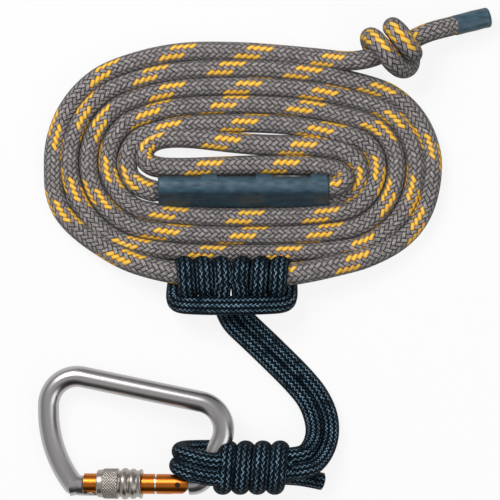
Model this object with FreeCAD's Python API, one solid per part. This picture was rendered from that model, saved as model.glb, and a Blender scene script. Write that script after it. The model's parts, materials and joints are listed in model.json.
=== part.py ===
"""Rope tether laid out flat: a flat oval coil of braided rope with a sewn eye, a stopper knot
and a heat-shrink tip, a friction hitch of softer cord round the outermost strand, and a
screw-sleeve connector noosed to the hitch cord by a barrel knot.

Millimetres, +Z up, everything lies on the plane z = 0. The origin is under the middle of the
connector. +X runs to the right and +Y away from the viewer, as the tether lies in its picture.
"""
import FreeCAD
import Part
import math
import os

from FreeCAD import Vector

os.makedirs("parts", exist_ok=True)

# Rope
rope_diameter = 9.6
coil_pitches = (10.02, 10.42, 10.42, 10.42)     # strand spacing at the top, left, bottom and right
coil_x, coil_y = 60.3, 152.4    # middle of the oval
coil_reach_top = 64.6           # from the middle to the first strand, before any turn has passed
coil_reach_left = 110.2
coil_reach_bottom = 66.35
coil_reach_right = 115.25
coil_turns = 4.25               # from the top of the first strand to the left side of the last
coil_top_shift = -12.0          # the strands are highest left of the middle
flat_turns = (15.0, 6.5, 5.0, 12.0)     # degrees that the long flat arc of each quarter turns
lift_side_height = 10.0         # rope centre where it starts to climb to the hitch
lift_left = (-13.6, 99.6)
lift_right = (130.6, 96.8)
outer_left = (-34.4, 115.2)     # where the strand leaves the ground
outer_right = (155.6, 111.6)    # where it is back on the ground
lift_slope = 0.17

# Sewn eye
sleeve_x0, sleeve_x1 = 12.6, 108.8
sleeve_wall = 0.6
stitch_thread = 0.25            # thickness of the bar tacks round the two strands
sewn_rise = 8.8                 # how much higher the upper of the two sewn strands lies
sewn_side = 6.0                 # and how far to the side
sewn_end_inset = 3.5            # the cut end of the upper strand stops this far inside
sewn_y = 135.95
tack_length = 9.0
tack_places = (24.0, 55.0, 86.0)

# Stopper knot and tip
stopper_x, stopper_y = 145.3, 217.9
stopper_angle = 25.0
stopper_half_length = 12.5
stopper_turns = 2.15
stopper_pitch = 10.6
tip_wall = 0.65
tip_end_wall = 1.2
tip_start = 2.5                 # the tip sleeve starts this far along the tail's last run

# Hitch cord
cord_diameter = 9.2             # free cord
hitch_cord = 8.6                # the same cord pulled tight round the rope
hitch_clearance = 0.3
hitch_x, hitch_y, hitch_z = 53.5, 88.3, 19.0
hitch_travel = 8.0              # the hitch can slide this far each way along the straight rope
hitch_turns = 2.5
hitch_pitch = 9.92
hitch_lead_angle = 65.0         # the legs leave this many degrees past the top
leg_spacing = 9.92

# Barrel knot and noose
knot_y, knot_z = -18.9, 15.8
knot_x0 = 48.6
barrel_cord = 8.6
barrel_pitch = 9.15
barrel_first_top = 7.2          # from the flange's face to the first turn's top
barrel_tops = 4                 # turns that pass over the top
barrel_end_angle = 100.0        # the ends are tucked in this far past the top
core_radius = 6.2
knot_length = 42.0
flange_radius, flange_thickness = 15.8, 1.9
collar_radius, collar_thickness = 13.5, 2.2
knot_clearance = 0.3
noose_reach = 35.4              # middle of the round end of the noose
noose_low, noose_high = 4.6, 27.3
noose_over_y = (-24.0, -13.8)
noose_under_y = (-17.0, -6.8)
noose_cord = 8.6
noose_round = 60.0              # degrees past the top where the bight has reached its own plane

# Connector, drawn flat in its own plane and then tilted to lie over the noose
bar_diameter = 12.0
connector_tilt = 6.15           # degrees, the noosed end is raised
connector_lift = 11.52          # height of its middle plane above the origin
bar_left = -50.4
bar_left_top = 12.7
nose_x, nose_y = -36.2, -28.7
nose_sweep_radius = 67.8
spine_corner = (-50.4, 35.9)
noose_corner = (57.0, 14.2)
hinge_corner = (36.7, -28.4)
spine_corner_radius = 16.5
noose_corner_radius = 16.0
hinge_corner_radius = 8.2
gate_y = -28.4
nose_end_x = -30.5
nose_end_radius = 5.0
nose_root_radius = 6.6
nose_root_x = -37.5
gate_nose_gap = 0.85
gate_diameter = 11.4
hinge_x = 24.2
gate_opening = 24.0
hinge_pin_diameter = 3.0
hinge_pin_length = 10.6
hinge_tongue = 4.0
hinge_tongue_clearance = 0.25
hinge_shoulder_gap = 0.5
running_clearance = 0.05
key_thickness = 3.0
key_length = 4.6
key_head = 5.2
key_clearance = 0.35
gate_bore = 5.4
gate_bore_depth = 30.0
cam_reach = 3.2                 # from the hinge pin to the flat end of the tongue
cam_half_width = 3.0
plunger_length = 8.0
plunger_clearance = 0.06
plunger_gap = 0.06
spring_wire = 0.7
spring_turns = 10
stop_ring_x = 11.0
stop_ring_width = 0.9
stop_ring_depth = 0.35

# Locking sleeve
sleeve_start, sleeve_length = -22.1, 25.4
sleeve_collar_diameter = 16.0
sleeve_diameter = 18.6
sleeve_collar = 3.1
sleeve_grip = 9.0
sleeve_groove = 1.4
sleeve_ring_pitch = 4.4
sleeve_mouth_diameter = 14.6
sleeve_mouth_depth = 12.4
sleeve_fit = 0.08
flute_count = 24
flute_depth = 0.45
friction_ring_width = 1.8
friction_ring_thickness = 1.1

ROPE = rope_diameter / 2
CORD = cord_diameter / 2
BAR = bar_diameter / 2
X, Y, Z = Vector(1, 0, 0), Vector(0, 1, 0), Vector(0, 0, 1)
made = {}


def unit(vector):
    return vector * (1.0 / vector.Length)


def heading(degrees, rise=0.0):
    """Unit vector in the ground plane, turned from +X, with a rise per length."""
    angle = math.radians(degrees)
    return unit(Vector(math.cos(angle), math.sin(angle), rise))


def keep(name, shape):
    """Write one node and report its volume."""
    made[name] = shape
    shape.exportStep("parts/" + name + ".step")
    print(f"{name}: {shape.Volume / 1000:.2f} cm3, {len(shape.Solids)} solid(s), valid {shape.isValid()}")
    return shape


def arc_between(start, corner, end):
    """Arc from start to end that is tangent to both sides of the corner between them."""
    middle = (start + end) * 0.5
    height = (corner - middle).Length
    half = (end - start).Length / 2
    if height < 1e-4 * half:
        return Part.LineSegment(start, end).toShape()
    sagitta = half * math.tan(math.atan2(height, half) / 2)
    top = middle + (corner - middle) * (sagitta / height)
    return Part.Arc(start, top, end).toShape()


def biarc(start, start_dir, end, end_dir, first=None):
    """Two tangent arcs between two points with given directions."""
    v = end - start
    t = start_dir + end_dir
    if v.Length > 0 and (unit(v) - start_dir).Length + (unit(v) - end_dir).Length < 1e-5:
        return [Part.LineSegment(start, end).toShape()]
    if first is None:
        spread = 2 * (1 - start_dir.dot(end_dir))
        if spread < 1e-6:
            first = v.dot(v) / (4 * v.dot(end_dir))
        else:
            first = (-v.dot(t) + math.sqrt(v.dot(t) ** 2 + spread * v.dot(v))) / spread
    second = (v.dot(v) / 2 - first * v.dot(start_dir)) / (
        v.dot(end_dir) - first * (start_dir.dot(end_dir) - 1))
    corner1 = start + start_dir * first
    corner2 = end - end_dir * second
    joint = corner1 + (corner2 - corner1) * (first / (first + second))
    return [arc_between(start, corner1, joint), arc_between(joint, corner2, end)]


def pipe(edges, radius):
    """Solid round tube along joined tangent edges."""
    wire = Part.Wire(edges)
    first = edges[0]
    start = first.valueAt(first.FirstParameter)
    direction = first.tangentAt(first.FirstParameter)
    other = first.valueAt(first.LastParameter)
    if direction.dot(other - start) < 0:
        direction = direction * -1
    ring = Part.Wire([Part.makeCircle(radius, start, direction)])
    solid = wire.makePipeShell([ring], True, False)
    if solid.Volume < 0:
        solid.reverse()
    expected = wire.Length * math.pi * radius ** 2
    if abs(solid.Volume / expected - 1) > 0.02:
        print(f"  volume {solid.Volume:.0f} against {expected:.0f} from section and length")
    return solid


def route_edges(points):
    """Straight runs joined by tangent arcs, each as large as its two runs allow."""
    points = [Vector(*p) for p in points]
    edges = []
    radii = []
    last = points[0]
    for before, here, after in zip(points, points[1:], points[2:]):
        into = unit(here - before)
        out = unit(after - here)
        turn = into.getAngle(out)
        reach = 0.45 * min((here - before).Length, (after - here).Length)
        radii.append(reach / math.tan(turn / 2))
        arc_start = here - into * reach
        arc_end = here + out * reach
        edges.append(Part.LineSegment(last, arc_start).toShape())
        edges.append(arc_between(arc_start, here, arc_end))
        last = arc_end
    edges.append(Part.LineSegment(last, points[-1]).toShape())
    return edges, radii


def cord_tube(name, points, radius):
    """A cord along a hand-chosen route; prints its length and its tightest arcs."""
    edges, radii = route_edges(points)
    tight = ", ".join(f"{r:.1f}" for r in sorted(radii)[:4])
    print(f"  {name}: length {Part.Wire(edges).Length:.0f} mm, tightest radii {tight}")
    return pipe(edges, radius)


def sample(edges, step=1.5):
    """Points along joined edges, in order."""
    points = []
    for edge in edges:
        count = max(2, int(edge.Length / step))
        span = edge.LastParameter - edge.FirstParameter
        for i in range(count):
            points.append(edge.valueAt(edge.FirstParameter + span * i / count))
    return points


def least_gap(edges, radius, apart):
    """Smallest clear gap of a tube to another part of itself, measured on points."""
    points = sample(edges)
    step = sum(e.Length for e in edges) / len(points)
    skip = int(apart / step)
    best = 1e9
    for i in range(0, len(points), 2):
        for j in range(i + skip, len(points)):
            best = min(best, (points[i] - points[j]).Length)
    return best - 2 * radius


def winding_edges(origin, axis, up, radius, pitch, start, end, x_at_start=0.0, hand=1):
    """Quarter-turn biarcs round an axis. Angles in degrees count from up, towards axis cross up."""
    side = axis.cross(up)
    circumference = 2 * math.pi * radius
    pieces = max(2, int(math.ceil(abs(end - start) / 90.0)))

    def place(angle):
        a = math.radians(angle)
        along = x_at_start + hand * pitch * (angle - start) / 360.0
        point = origin + up * (radius * math.cos(a)) + side * (radius * math.sin(a)) + axis * along
        way = side * math.cos(a) - up * math.sin(a)
        return point, unit(way + axis * (hand * pitch / circumference))

    edges = []
    for i in range(pieces):
        p0, d0 = place(start + (end - start) * i / pieces)
        p1, d1 = place(start + (end - start) * (i + 1) / pieces)
        edges += biarc(p0, d0, p1, d1)
    return edges


def with_straight_ends(edges, length, way_in, way_out):
    """Add a short straight run in a given direction at each end, over a small tangent arc."""
    first = edges[0]
    last = edges[-1]
    a = first.valueAt(first.FirstParameter)
    ta = first.tangentAt(first.FirstParameter)
    b = last.valueAt(last.LastParameter)
    tb = last.tangentAt(last.LastParameter)
    start = a - way_in * length
    end = b + way_out * length
    lead = biarc(start, way_in, a, ta) if (way_in - ta).Length > 1e-3 else [Part.LineSegment(start, a).toShape()]
    tail = biarc(b, tb, end, way_out) if (way_out - tb).Length > 1e-3 else [Part.LineSegment(b, end).toShape()]
    return lead + edges + tail


def ground(x, y, z=0.0):
    return Vector(x, y, z)


# The rope: coil, eye, stopper knot and tail


def coil_knot(quarter):
    """Point and direction where a quarter of the spiral starts, counted from the top."""
    reach = (coil_reach_top, coil_reach_left, coil_reach_bottom, coil_reach_right)[quarter % 4]
    spacing = coil_pitches[quarter % 4]
    reach -= spacing * quarter / 4
    angle = math.radians(90 + 90 * quarter)
    out = Vector(math.cos(angle), math.sin(angle), 0)
    way = Vector(-math.sin(angle), math.cos(angle), 0)
    point = ground(coil_x, coil_y, ROPE) + out * reach - way * (spacing / (2 * math.pi))
    if quarter % 4 == 0:
        point += X * coil_top_shift
    return point, way


def coil_quarter(p0, d0, p1, d1, first_turn):
    """Quarter turn of a flat oval: one long flat arc and one tight end arc."""
    v = p1 - p0
    along = v.dot(d0)
    across = v.dot(d1)
    a = math.radians(first_turn)
    difference = (along - across) / (math.cos(a) + math.sin(a) - 1)
    radius = across + difference * math.cos(a)
    return biarc(p0, d0, p1, d1, radius * math.tan(a / 2))


def rope_coil_edges():
    knot_dir = heading(stopper_angle)
    start = ground(stopper_x, stopper_y, knot_z_stopper) - knot_dir * stopper_half_length
    settle = ground(104.0, 214.5, ROPE + 0.4)
    settle_dir = heading(177.5, -0.03)
    top, top_dir = coil_knot(0)
    edges = biarc(start, knot_dir * -1, settle, settle_dir)
    edges += biarc(settle, settle_dir, top, top_dir)
    quarters = int(math.floor(coil_turns * 4))
    for q in range(quarters):
        p0, d0 = coil_knot(q)
        p1, d1 = coil_knot(q + 1)
        if q == 1:
            side = ground(*lift_left, lift_side_height)
            side_dir = heading(-30.0, lift_slope)
            lift = ground(*outer_left, ROPE)
            lift_dir = heading(-50.0)
            hold = ground(hitch_x - straight_half, hitch_y, hitch_z)
            edges += biarc(p0, d0, lift, lift_dir)
            edges += biarc(lift, lift_dir, side, side_dir)
            edges += biarc(side, side_dir, hold, X)
        elif q == 2:
            hold = ground(hitch_x - straight_half, hitch_y, hitch_z)
            release = ground(hitch_x + straight_half, hitch_y, hitch_z)
            side = ground(*lift_right, lift_side_height)
            side_dir = heading(29.5, -lift_slope)
            down = ground(*outer_right, ROPE)
            down_dir = heading(43.0)
            edges += biarc(hold, X, release, X)
            edges += biarc(release, X, side, side_dir)
            edges += biarc(side, side_dir, down, down_dir)
            edges += biarc(down, down_dir, p1, d1)
        else:
            flat = flat_turns[q % 4]
            edges += coil_quarter(p0, d0, p1, d1, flat if q % 2 == 0 else 90 - flat)
    last, last_dir = coil_knot(quarters)
    edges += biarc(last, last_dir, ground(sleeve_x0, sewn_y, sewn_low), X)
    return edges


hitch_radius = ROPE + hitch_clearance + hitch_cord / 2
straight_half = 2.5 * hitch_pitch + leg_spacing / 2 + hitch_cord / 2 + hitch_travel + 0.6
stopper_ring = ROPE * 2 + hitch_clearance
knot_z_stopper = stopper_ring + ROPE + 0.3
sewn_low = ROPE + stitch_thread + 0.1 + sleeve_wall

coil_edges = rope_coil_edges()
print(f"rope_coil: length {sum(e.Length for e in coil_edges):.0f} mm, "
      f"least gap to itself {least_gap(coil_edges, ROPE, 40):.2f} mm")
keep("rope_coil", pipe(coil_edges, ROPE))

# The eye: out of the sleeve's upper strand, tight back along the sleeve, round the left end,
# along the top, round the right end and back in as the lower strand
sewn_high = sewn_low + sewn_rise
eye_route = [
    (sleeve_x1, sewn_y + sewn_side, sewn_high),
    (112.2, sewn_y + sewn_side, sewn_high),
    (114.8, 144.2, 12.8),
    (114.4, 147.0, 8.8),
    (111.2, 148.6, 5.6),
    (104.5, 149.8, ROPE),
    (93.0, 151.3, ROPE),
    (76.0, 152.5, ROPE),
    (56.0, 152.0, ROPE),
    (38.0, 150.4, ROPE),
    (22.0, 149.7, ROPE),
    (11.5, 150.9, ROPE),
    (6.2, 154.4, ROPE),
    (5.2, 158.8, ROPE),
    (9.4, 161.9, ROPE),
    (18.0, 163.9, ROPE),
    (34.0, 165.2, ROPE),
    (54.0, 165.0, ROPE),
    (74.0, 164.0, ROPE),
    (92.0, 162.8, ROPE),
    (105.5, 160.4, ROPE),
    (116.4, 157.4, ROPE),
    (123.4, 153.0, ROPE),
    (125.9, 147.4, ROPE),
    (123.4, 142.2, 5.1),
    (118.9, 138.0, 5.5),
    (113.4, sewn_y, sewn_low),
    (sleeve_x1, sewn_y, sewn_low),
]
keep("eye_loop", cord_tube("eye_loop", eye_route, ROPE))


def lane(high):
    return ground(0, sewn_y + (sewn_side if high else 0), sewn_low + (sewn_rise if high else 0))


def oval_prism(x0, x1, radius):
    """Belt-shaped prism round the two sewn strands."""
    low, high = lane(False) + X * x0, lane(True) + X * x0
    lean = unit(high - low)
    out = X.cross(lean)
    wire = Part.Wire([
        Part.LineSegment(low + out * radius, high + out * radius).toShape(),
        Part.Arc(high + out * radius, high + lean * radius, high - out * radius).toShape(),
        Part.LineSegment(high - out * radius, low - out * radius).toShape(),
        Part.Arc(low - out * radius, low - lean * radius, low + out * radius).toShape(),
    ])
    return Part.Face(wire).extrude(X * (x1 - x0))


def strand(high, x0, x1):
    return Part.makeCylinder(ROPE, x1 - x0, lane(high) + X * x0, X)


keep("sewn_strand_lower", strand(False, sleeve_x0, sleeve_x1))
keep("sewn_strand_upper", strand(True, sleeve_x0 + sewn_end_inset, sleeve_x1))
tack_inner = ROPE
tack_outer = tack_inner + stitch_thread
tacks = [oval_prism(sleeve_x0 + x, sleeve_x0 + x + tack_length, tack_outer).cut(
    oval_prism(sleeve_x0 + x - 1, sleeve_x0 + x + tack_length + 1, tack_inner)) for x in tack_places]
keep("eye_stitching", Part.makeCompound(tacks))
shrink_inner = tack_outer
sleeve = oval_prism(sleeve_x0, sleeve_x1, shrink_inner + sleeve_wall).cut(
    oval_prism(sleeve_x0 - 1, sleeve_x1 + 1, shrink_inner))
keep("eye_sleeve", sleeve)

# Stopper knot: a straight core strand with turns of the same rope round it
knot_dir = heading(stopper_angle)
knot_middle = ground(stopper_x, stopper_y, knot_z_stopper)
core_start = knot_middle - knot_dir * stopper_half_length
core_end = knot_middle + knot_dir * stopper_half_length
keep("stopper_core", Part.makeCylinder(ROPE, 2 * stopper_half_length, core_start, knot_dir))
stopper_span = stopper_turns * 360
stopper_edges = winding_edges(knot_middle, knot_dir, Z, stopper_ring, stopper_pitch, -210, stopper_span - 210,
                              -stopper_pitch * stopper_turns / 2)
keep("stopper_turns", pipe(stopper_edges, ROPE))
print(f"stopper_turns: least gap to itself {least_gap(stopper_edges, ROPE, 40):.2f} mm")

tail_route = [
    tuple(core_end),
    tuple(core_end + knot_dir * 6.0),
    (169.2, 228.2, 13.4),
    (177.4, 230.4, 10.0),
    (198.8, 235.8, 6.6),
]
tail_a, tail_b = Vector(*tail_route[-2]), Vector(*tail_route[-1])
tip_dir = unit(tail_b - tail_a)
keep("rope_tail", cord_tube("rope_tail", tail_route, ROPE))
tip_from = tail_a + tip_dir * tip_start
tip_length = (tail_b - tip_from).Length + tip_end_wall + 0.2
tip_outer = ROPE + tip_wall
tip = Part.makeCylinder(tip_outer, tip_length, tip_from, tip_dir).cut(
    Part.makeCylinder(ROPE, tip_length - tip_end_wall + 1, tip_from - tip_dir, tip_dir))
keep("tip_sleeve", tip)

# Hitch: three turns each side of the legs, joined outside by the bridge


def hitch_wraps(side):
    """Turns on one side, from the leg over the top and outwards; side is -1 left, 1 right."""
    start = ground(hitch_x + side * leg_spacing / 2, hitch_y, hitch_z)
    # Angles count from the top towards the back of the rope, so the leg leaves at a negative one
    axis = X * -1
    edges = winding_edges(start, axis, Z, hitch_radius, hitch_pitch, -hitch_lead_angle,
                          180 + 360 * int(hitch_turns), 0.0, -side)
    first, last = edges[0], edges[-1]
    a = first.valueAt(first.FirstParameter)
    lead = math.radians(hitch_lead_angle)
    way_in = Vector(0, math.cos(lead), math.sin(lead))
    b = last.valueAt(last.LastParameter)
    ta = first.tangentAt(first.FirstParameter)
    tb = last.tangentAt(last.LastParameter)
    leg_end = a - way_in * hitch_cord
    bridge_end = b - Y * hitch_cord
    return biarc(leg_end, way_in, a, ta) + edges + biarc(b, tb, bridge_end, Y * -1), leg_end, way_in, bridge_end


left_edges, left_leg_start, leg_up, left_bridge = hitch_wraps(-1)
right_edges, right_leg_start, leg_up, right_bridge = hitch_wraps(1)
print(f"hitch turns: least gap to itself {least_gap(left_edges, hitch_cord / 2, 30):.2f} mm")
keep("hitch_turns_left", pipe(left_edges, hitch_cord / 2))
keep("hitch_turns_right", pipe(right_edges, hitch_cord / 2))
print("  bridge ends", left_bridge, right_bridge, " leg starts", left_leg_start, right_leg_start)

bridge_route = [
    tuple(left_bridge),
    tuple(left_bridge - Y * 7.0),
    (24.8, 68.6, 13.4),
    (34.0, 69.4, 17.0),
    (45.5, 69.2, 21.2),
    (61.5, 69.0, 21.3),
    (73.0, 69.2, 17.0),
    (82.2, 68.6, 13.4),
    tuple(right_bridge - Y * 7.0),
    tuple(right_bridge),
]
keep("hitch_bridge", cord_tube("hitch_bridge", bridge_route, hitch_cord / 2))

leg_left_route = [
    tuple(left_leg_start),
    tuple(left_leg_start - leg_up * 6.4),
    (49.8, 67.2, 5.9),
    (54.0, 60.6, 4.7),
    (61.4, 53.8, 4.6),
    (70.2, 45.4, 4.6),
    (79.3, 36.5, 4.6),
    (88.4, 27.4, 4.6),
    (96.6, 17.6, 4.6),
    (100.6, 6.4, 4.6),
    (100.8, -1.6, 6.2),
    (98.6, -8.4, 11.0),
    (95.2, knot_y + 6.5, knot_z + 1.5),
    (knot_x0 + knot_length, knot_y + 6.5, knot_z + 1.5),
]
leg_right_route = [
    tuple(right_leg_start),
    tuple(right_leg_start - leg_up * 6.4),
    (60.6, 68.0, 5.9),
    (67.0, 61.8, 4.7),
    (77.0, 52.6, 4.6),
    (86.2, 43.6, 4.6),
    (95.6, 34.2, 4.6),
    (104.6, 23.6, 4.6),
    (110.4, 11.4, 4.6),
    (110.8, -1.2, 4.9),
    (107.4, -11.6, 7.6),
    (101.8, -19.8, 12.8),
    (95.4, knot_y - 3.2, knot_z + 3.0),
    (knot_x0 + knot_length, knot_y - 3.2, knot_z + 3.0),
]
keep("leg_left", cord_tube("leg_left", leg_left_route, CORD))
keep("leg_right", cord_tube("leg_right", leg_right_route, CORD))

# Connector, in its own flat frame: u along the tilt, v the same as +Y, w out of its plane


def tilted(shape):
    shape = shape.copy()
    shape.Placement = FreeCAD.Placement(
        Vector(0, 0, connector_lift), FreeCAD.Rotation(Y, -connector_tilt)).multiply(shape.Placement)
    return shape


def corner_cut(before, corner, after, radius):
    """Where an arc of a radius leaves and joins the two lines that meet at a corner."""
    into = unit(corner - before)
    out = unit(after - corner)
    reach = radius * math.tan(into.getAngle(out) / 2)
    return corner - into * reach, corner + out * reach


nose_root = Vector(nose_x, nose_y, 0)
sweep_centre = Vector(bar_left + nose_sweep_radius, bar_left_top, 0)
nose_root = sweep_centre + unit(nose_root - sweep_centre) * nose_sweep_radius
left_top = Vector(bar_left, bar_left_top, 0)
chord_middle = sweep_centre + unit((nose_root + left_top) * 0.5 - sweep_centre) * nose_sweep_radius
c1, c2, c3 = Vector(*spine_corner, 0), Vector(*noose_corner, 0), Vector(*hinge_corner, 0)
hinge_line_end = Vector(hinge_x + gate_diameter / 2 + hinge_shoulder_gap, gate_y, 0)
a1, b1 = corner_cut(left_top, c1, c2, spine_corner_radius)
a2, b2 = corner_cut(c1, c2, c3, noose_corner_radius)
a3, b3 = corner_cut(c2, c3, hinge_line_end, hinge_corner_radius)
frame_edges = [
    Part.Arc(nose_root, chord_middle, left_top).toShape(),
    Part.LineSegment(left_top, a1).toShape(),
    arc_between(a1, c1, b1),
    Part.LineSegment(b1, a2).toShape(),
    arc_between(a2, c2, b2),
    Part.LineSegment(b2, a3).toShape(),
    arc_between(a3, c3, b3),
    Part.LineSegment(b3, hinge_line_end).toShape(),
]


def bar_clearance():
    return pipe(frame_edges, BAR + knot_clearance)


# Barrel knot: turns round a core, a flange where the noose spreads and a collar for the legs
knot_axis = ground(knot_x0, knot_y, knot_z)
barrel_ring = core_radius + 0.3 + barrel_cord / 2
# The turns lean: on the near side they lie further to the left than on the far side
barrel_edges = winding_edges(knot_axis, X * -1, Z, barrel_ring, barrel_pitch, -barrel_end_angle,
                             360 * (barrel_tops - 1) + barrel_end_angle,
                             -(barrel_first_top - barrel_pitch * barrel_end_angle / 360), -1)
core = Part.makeCylinder(core_radius, knot_length, knot_axis, X)
core = core.fuse(Part.makeCylinder(flange_radius, flange_thickness, knot_axis, X))
collar_x = knot_x0 + knot_length - collar_thickness
core = core.fuse(Part.makeCylinder(collar_radius, collar_thickness, knot_axis + X * (knot_length - collar_thickness), X))
core = core.cut(pipe(barrel_edges, barrel_cord / 2 + knot_clearance))
core = core.cut(tilted(bar_clearance())).removeSplitter()
keep("knot_core", core)
keep("barrel_turns", pipe(barrel_edges, barrel_cord / 2))
print(f"barrel_turns: least gap to itself {least_gap(barrel_edges, barrel_cord / 2, 30):.2f} mm")

cord_tail_route = [
    (knot_x0 + knot_length, knot_y - 5.4, knot_z - 7.4),
    (94.2, knot_y - 5.4, knot_z - 7.4),
    (97.9, -25.6, 5.6),
    (102.2, -26.9, 4.6),
]
keep("cord_tail", cord_tube("cord_tail", cord_tail_route, CORD))


def noose(index):
    """One bight: over the bar and sideways, round to the left and back under it."""
    over, under = noose_over_y[index], noose_under_y[index]
    rise = (noose_high - noose_low) / 2
    middle = ground(noose_reach, under, noose_low + rise)
    turn = winding_edges(middle, Y * -1, Z, rise, 0.0, noose_round, 180)
    a = math.radians(noose_round)
    start = middle + Z * (rise * math.cos(a)) - X * (rise * math.sin(a))
    edges = biarc(ground(knot_x0, over, noose_high), X * -1, start, X * -math.cos(a) - Z * math.sin(a))
    low = ground(noose_reach, under, noose_low)
    return edges + turn + [Part.LineSegment(low, ground(knot_x0, under, noose_low)).toShape()]


for index, name in enumerate(("noose_lower", "noose_upper")):
    keep(name, pipe(noose(index), noose_cord / 2))

# Connector body

frame = pipe(frame_edges, BAR)
nose_axis = Vector(nose_root_x, nose_y - 0.4, 0)
nose_length = nose_end_x - nose_root_x
frame = frame.fuse(Part.makeCone(nose_root_radius, nose_end_radius, nose_length, nose_axis, X))
frame = frame.fuse(Part.makeSphere(BAR, nose_root))


def block(u0, u1, v0, v1, thickness):
    return Part.makeBox(u1 - u0, v1 - v0, thickness, Vector(u0, v0, -thickness / 2))


# The nose's key and the hinge's tongue are flat
key_top = gate_y + 2.6
key_low = nose_y - 0.4 - 4.0
frame = frame.fuse(block(nose_end_x - 2, nose_end_x + key_length, key_low, key_top, key_thickness))
frame = frame.fuse(block(nose_end_x + key_length - 1.6, nose_end_x + key_length, key_low, key_top, key_head))
tongue = block(hinge_x - cam_reach, hinge_line_end.x + 2, gate_y - cam_half_width, gate_y + cam_half_width, hinge_tongue)
pin_hole = Part.makeCylinder(
    hinge_pin_diameter / 2, hinge_pin_length + 4, Vector(hinge_x, gate_y, -hinge_pin_length / 2 - 2), Z)
frame = frame.fuse(tongue).cut(pin_hole).removeSplitter()
keep("connector_frame", tilted(frame))
pin = Part.makeCylinder(hinge_pin_diameter / 2, hinge_pin_length, Vector(hinge_x, gate_y, -hinge_pin_length / 2), Z)
keep("hinge_pin", tilted(pin))

# Gate
gate_x0 = nose_end_x + gate_nose_gap
gate = Part.makeCylinder(gate_diameter / 2, hinge_x - gate_x0, Vector(gate_x0, gate_y, 0), X)
rear = Part.makeCylinder(gate_diameter / 2, gate_diameter, Vector(hinge_x, gate_y, -gate_diameter / 2), Z).common(
    Part.makeCylinder(gate_diameter / 2, gate_diameter, Vector(hinge_x - 1, gate_y, 0), X))
gate = gate.fuse(rear)
slot_thickness = hinge_tongue + 2 * hinge_tongue_clearance
slot_start = hinge_x - cam_reach - 0.9
slot = block(slot_start, hinge_x + gate_diameter, gate_y - gate_diameter, gate_y + gate_diameter, slot_thickness)
key_slot = block(gate_x0 - 1, nose_end_x + key_length - 1.6 - key_clearance + 0.01, gate_y - gate_diameter,
                 key_top + key_clearance, key_thickness + 2 * key_clearance)
key_room = block(nose_end_x + key_length - 1.6 - key_clearance, nose_end_x + key_length + 1.0,
                 gate_y - gate_diameter, key_top + key_clearance, key_head + 2 * key_clearance)
bore = Part.makeCylinder(gate_bore / 2, gate_bore_depth + 1.5, Vector(slot_start - gate_bore_depth, gate_y, 0), X)
gate_pin_hole = Part.makeCylinder(
    hinge_pin_diameter / 2 + running_clearance, gate_diameter + 2, Vector(hinge_x, gate_y, -gate_diameter / 2 - 1), Z)
ring_seat = Part.makeCylinder(gate_diameter / 2 + 1, stop_ring_width, Vector(stop_ring_x, gate_y, 0), X).cut(
    Part.makeCylinder(gate_diameter / 2 - stop_ring_depth, stop_ring_width, Vector(stop_ring_x, gate_y, 0), X))
for tool in (slot, key_slot, key_room, bore, gate_pin_hole, ring_seat):
    gate = gate.cut(tool)
keep("gate", tilted(gate.removeSplitter()))
stop_ring = Part.makeCylinder(gate_diameter / 2, stop_ring_width, Vector(stop_ring_x, gate_y, 0), X).cut(
    Part.makeCylinder(gate_diameter / 2 - stop_ring_depth, stop_ring_width, Vector(stop_ring_x, gate_y, 0), X))
keep("stop_ring", tilted(stop_ring))

# Plunger and spring inside the gate
plunger_tip = hinge_x - cam_reach - plunger_gap
plunger = Part.makeCylinder(gate_bore / 2 - plunger_clearance, plunger_length,
                            Vector(plunger_tip - plunger_length, gate_y, 0), X)
keep("gate_plunger", tilted(plunger))
spring_x0 = slot_start - gate_bore_depth
spring_room = plunger_tip - plunger_length - spring_x0
spring_pitch = (spring_room - spring_wire) / spring_turns
spring_radius = gate_bore / 2 - 0.25 - spring_wire / 2
spring_edges = winding_edges(Vector(spring_x0 + spring_wire / 2, gate_y, 0), X, Z, spring_radius, spring_pitch,
                             0, 360 * spring_turns)
print(f"gate_spring: least gap to itself {least_gap(spring_edges, spring_wire / 2, 6):.2f} mm")
keep("gate_spring", tilted(pipe(spring_edges, spring_wire / 2)))

# Locking sleeve: collar, fluted grip, groove, two rounded rings and a flare
bore_radius = gate_diameter / 2 + sleeve_fit
grip_end = sleeve_collar + sleeve_grip
ring_radius = sleeve_diameter / 2
groove_radius = ring_radius - 1.3


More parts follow.
